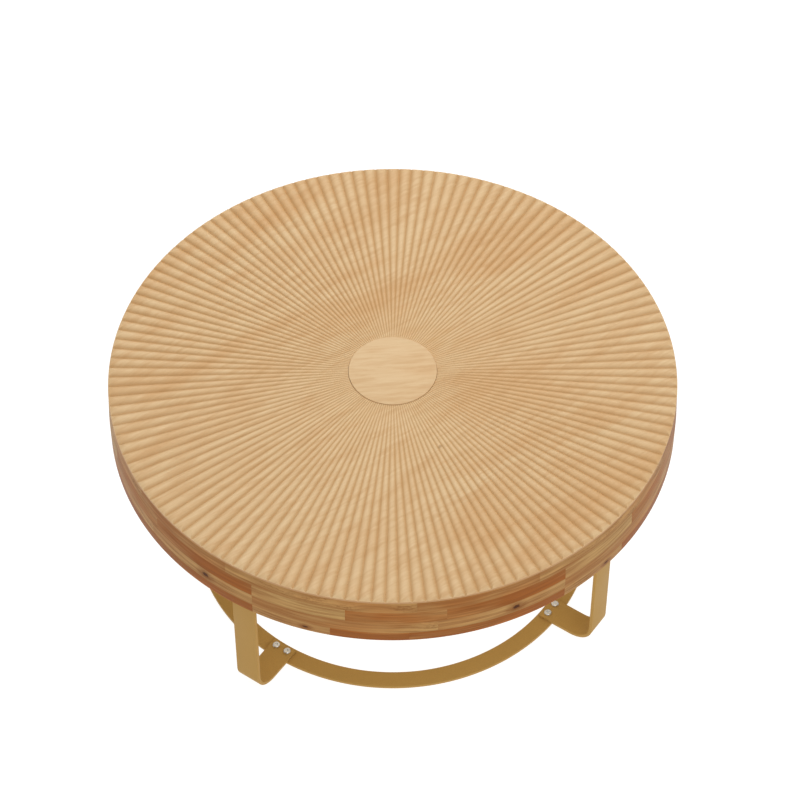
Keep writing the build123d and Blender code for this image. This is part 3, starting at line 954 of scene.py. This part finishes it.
class LOWTABLE_OT_ring(bpy.types.Operator):
    """Builds the floor ring and its pads"""

    bl_idname = "lowtable.ring"
    bl_label = "Floor Ring"

    def execute(self, context):
        legs = context.scene.table_legs
        hardware = context.scene.table_hardware
        outer, low = RING_HIGH.x, RING_LOW.z
        corners = box_section(outer - legs.ring, outer, low, RING_HIGH.z)
        every_corner = [LOWER_INNER, LOWER_OUTER, UPPER_OUTER, UPPER_INNER]
        ring = turned(rounded(corners, legs.corner, every_corner), RING_STEPS)
        paint = finish_named("gold_paint", gold_paint, paint=legs.paint)
        add_piece("floor_ring", ring, paint, ["base_ring"])
        pads = bmesh.new()
        middle = outer - legs.ring / 2
        corners = box_section(0, legs.pad / 2, 0, low)
        for number in range(PAD_COUNT):
            angle = (number + 0.5) * 2 * pi / PAD_COUNT
            pad = turned(rounded(corners, legs.pad_round, [LOWER_OUTER]), SMALL_STEPS)
            spot = (middle * cos(angle), middle * sin(angle), 0)
            move_into(pads, pad, Matrix.Translation(spot))
        rubber = finish_named("pad_rubber", soft_rubber, tone=hardware.rubber)
        add_piece("ring_pads", pads, rubber, ["floor_pads"])
        return {"FINISHED"}


def move_into(bm, part, matrix):
    """Adds a finished part to a bmesh, in its place, and frees it."""
    bmesh.ops.transform(part, matrix=matrix, verts=part.verts)
    mesh = bpy.data.meshes.new("part")
    part.to_mesh(mesh)
    part.free()
    bm.from_mesh(mesh)
    bpy.data.meshes.remove(mesh)


class LOWTABLE_OT_bolts(bpy.types.Operator):
    """Builds the bolts in the legs' feet and flanges, with their washers"""

    bl_idname = "lowtable.bolts"
    bl_label = "Bolts"

    def execute(self, context):
        hardware, legs = context.scene.table_hardware, context.scene.table_legs
        steel = finish_named("bolt_steel", plated_metal, tone=hardware.steel, roughness=0.28)
        foot_top = LEG_LOW.z + legs.bar
        foot_length = foot_top - RING_LOW.z
        middle = RING_HIGH.x - legs.ring / 2
        spread = hardware.foot_spacing / 2
        head_down = Matrix.Rotation(pi, 4, "X")
        feet = bmesh.new()
        flanges = bmesh.new()
        washers = bmesh.new()
        for azimuth in LEG_ANGLES.values():
            swing = Matrix.Rotation(radians(azimuth), 4, "Z")
            for side in (-spread, spread):
                spot = swing @ Matrix.Translation((middle, side, foot_top))
                move_into(feet, self.bolt(hardware, foot_length), spot)
            for radius in (hardware.flange_inner, hardware.flange_outer):
                spot = swing @ Matrix.Translation((radius, 0, WASHER_LOW.z))
                bolt = self.bolt(hardware, hardware.flange_bolt)
                move_into(flanges, bolt, spot @ head_down)
                move_into(washers, self.washer(hardware), spot)
        add_piece("foot_bolt_set", feet, steel, ["foot_bolts"])
        add_piece("flange_bolt_set", flanges, steel, ["flange_bolts"])
        add_piece("flange_washer_set", washers, steel, ["flange_washers"])
        return {"FINISHED"}

    def washer(self, hardware):
        """A washer that lies on Z = 0."""
        thickness = WASHER_HIGH.z - WASHER_LOW.z
        corners = box_section(hardware.washer_hole / 2, hardware.washer / 2, 0, thickness)
        outline = rounded(corners, hardware.washer_round, [LOWER_OUTER, UPPER_OUTER])
        return turned(outline, SMALL_STEPS)

    def bolt(self, hardware, shank_length):
        """A button-head bolt, head up, seated at Z = 0: turned, then its socket is sunk."""
        head, shank, tip = hardware.head / 2, hardware.shank / 2, hardware.tip
        flat = head - hardware.head_round
        shoulder = hardware.head_height - hardware.head_round
        points = [
            (0, -shank_length),
            (shank - tip, -shank_length),
            (shank, -shank_length + tip),
            (shank, 0),
            (head, 0),
        ]
        for step in range(HEAD_STEPS + 1):
            angle = pi / 2 * step / HEAD_STEPS
            radius = flat + hardware.head_round * cos(angle)
            points.append((radius, shoulder + hardware.head_round * sin(angle)))
        bm = bmesh.new()
        wire(bm, points, closed=False)
        turned(bm, BOLT_STEPS)
        rim = edge_loop(bm, 0, flat + SAME)
        rim = pull_loop(bm, rim, radius=hardware.socket / 2)
        half_side = HEXAGON_SIDE / 2
        for vert in {vert for edge in rim for vert in edge.verts}:
            around = Vector((vert.co.x, vert.co.y))
            turn = (Vector((1, 0)).angle_signed(around) + half_side) % HEXAGON_SIDE - half_side
            vert.co.x /= cos(turn)
            vert.co.y /= cos(turn)
        rim = pull_loop(bm, rim, height=hardware.head_height - hardware.socket_depth)
        bmesh.ops.edgeloop_fill(bm, edges=rim)
        return bm


# ------------------------------ the stage
class LOWTABLE_OT_stage(bpy.types.Operator):
    """Sets up the floor, the lights and the camera"""

    bl_idname = "lowtable.stage"
    bl_label = "Stage"

    def execute(self, context):
        stage = context.scene.table_stage
        scene = context.scene
        camera_data = bpy.data.cameras.new("camera")
        camera_data.lens = stage.lens
        camera_data.sensor_width = SENSOR_WIDTH
        camera = bpy.data.objects.new("camera", camera_data)
        camera.location = stage.place
        camera.rotation_euler = (pi / 2 - stage.tilt, 0, stage.turn)
        scene.collection.objects.link(camera)
        scene.camera = camera

        bm = bmesh.new()
        bmesh.ops.create_grid(bm, x_segments=1, y_segments=1, size=FLOOR_REACH)
        mesh = bpy.data.meshes.new("studio_floor")
        bm.to_mesh(mesh)
        bm.free()
        finish = Finish("studio_floor", roughness=0.9)
        haze = finish.noise(finish.coordinates(), scale=0.8, detail=2.0, roughness=0.5)
        finish.paint("Base Color", finish.mix(haze, stage.floor, tinted(stage.floor, 1.02)))
        finish.shader.inputs["Emission Color"].default_value = (1, 1, 1, 1)
        finish.shader.inputs["Emission Strength"].default_value = stage.glow
        mesh.materials.append(finish.material)
        floor = bpy.data.objects.new("studio_floor", mesh)
        scene.collection.objects.link(floor)

        self.area_light("key", stage.key, size=2.5, turn=stage.turn, reach=2.4, height=3.1)
        by_camera = stage.turn + pi + FILL_SIDE
        self.area_light("fill", stage.fill, size=3.0, turn=by_camera, reach=2.7, height=3.3)
        world = bpy.data.worlds.new("studio")
        world.use_nodes = True
        background = world.node_tree.nodes["Background"]
        background.inputs["Color"].default_value = (1, 1, 1, 1)
        background.inputs["Strength"].default_value = stage.sky
        scene.world = world
        scene.view_settings.view_transform = "Standard"
        return {"FINISHED"}

    def area_light(self, name, power, size, turn, reach, height):
        """A square light, placed at an angle from +Y and aimed at the table's top."""
        data = bpy.data.lights.new(name, "AREA")
        data.energy = power
        data.size = size
        light = bpy.data.objects.new(name, data)
        light.location = (-reach * sin(turn), reach * cos(turn), height)
        aim = LIGHT_TARGET - light.location
        light.rotation_euler = aim.to_track_quat("-Z", "Y").to_euler()
        bpy.context.scene.collection.objects.link(light)


STEPS = (
    LOWTABLE_OT_fluted_top,
    LOWTABLE_OT_centre_disc,
    LOWTABLE_OT_rim,
    LOWTABLE_OT_inside,
    LOWTABLE_OT_legs,
    LOWTABLE_OT_ring,
    LOWTABLE_OT_bolts,
    LOWTABLE_OT_stage,
)


class LOWTABLE_PT_sidebar(bpy.types.Panel):
    """Lists the table's pieces and their settings"""

    bl_label = "Low Table"
    bl_idname = "LOWTABLE_PT_sidebar"
    bl_space_type = "VIEW_3D"
    bl_region_type = "UI"
    bl_category = "Low Table"

    def draw(self, context):
        for step in STEPS:
            self.layout.operator(step.bl_idname)
        for name, group in GROUPS.items():
            box = self.layout.box()
            for setting in group.__annotations__:
                box.prop(getattr(context.scene, name), setting)


def register():
    for kind in (*GROUPS.values(), *STEPS, LOWTABLE_PT_sidebar):
        bpy.utils.register_class(kind)
    for name, group in GROUPS.items():
        setattr(bpy.types.Scene, name, PointerProperty(type=group))


def unregister():
    for name in GROUPS:
        delattr(bpy.types.Scene, name)
    for kind in reversed((*GROUPS.values(), *STEPS, LOWTABLE_PT_sidebar)):
        bpy.utils.unregister_class(kind)


def main():
    register()
    bpy.ops.lowtable.fluted_top()
    bpy.ops.lowtable.centre_disc()
    bpy.ops.lowtable.rim()
    bpy.ops.lowtable.inside()
    bpy.ops.lowtable.legs()
    bpy.ops.lowtable.ring()
    bpy.ops.lowtable.bolts()
    bpy.ops.lowtable.stage()


if __name__ == "__main__":
    main()
